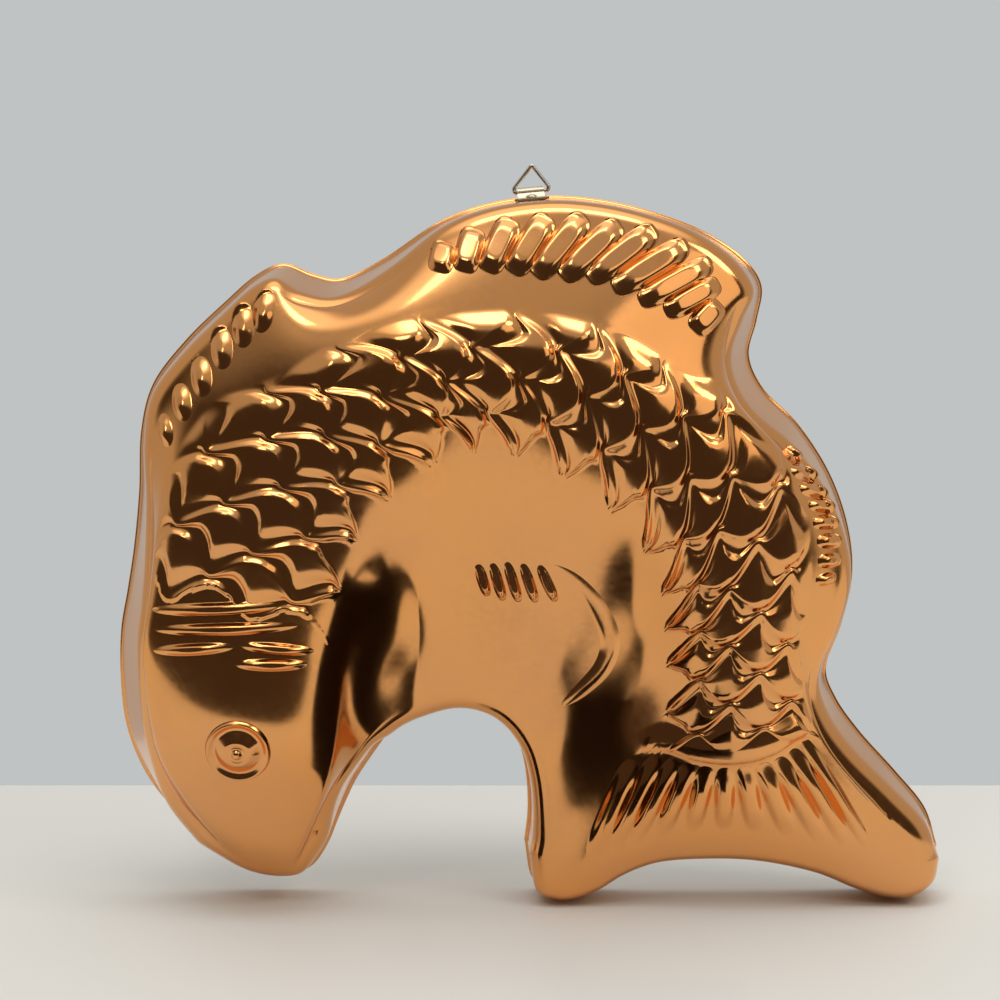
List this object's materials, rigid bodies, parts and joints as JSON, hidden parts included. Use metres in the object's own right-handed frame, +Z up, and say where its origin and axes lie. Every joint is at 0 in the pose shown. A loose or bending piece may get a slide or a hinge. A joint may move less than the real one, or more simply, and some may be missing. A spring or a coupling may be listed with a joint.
{
  "type": "copper cake mould",
  "caption": "Drawn copper cake mould in the form of a leaping fish, open at the back, with a folded strap and a wire ring to hang it by.",
  "frame": {"origin": "where a nail or hook bears, inside the top of the hanging ring, with the ring standing up", "axes": "+Z up as it hangs, +Y into the wall, out of the open back; the pressed fish faces -Y, its head at -X and its tail at +X"},
  "size_m": [0.2841, 0.0604, 0.2517],
  "materials": {
    "copper": "polished copper sheet with fine scratches outside, tinned inside",
    "strap_metal": "worn nickel plate",
    "ring_wire": "bright steel wire"
  },
  "bodies": {
    "mould": {"mould_shell": "copper", "hanger_strap": "strap_metal", "hanger_rivet": "strap_metal"},
    "ring": {"hanger_ring": "ring_wire"}
  },
  "joints": [
    {"name": "ring_swing", "type": "hinge", "parent": "mould", "child": "ring", "pos_m": [-0.00044, 0, -0.00838], "axis": [0.9958, 0, 0.0915], "range_deg": [-66, 70]}
  ]
}
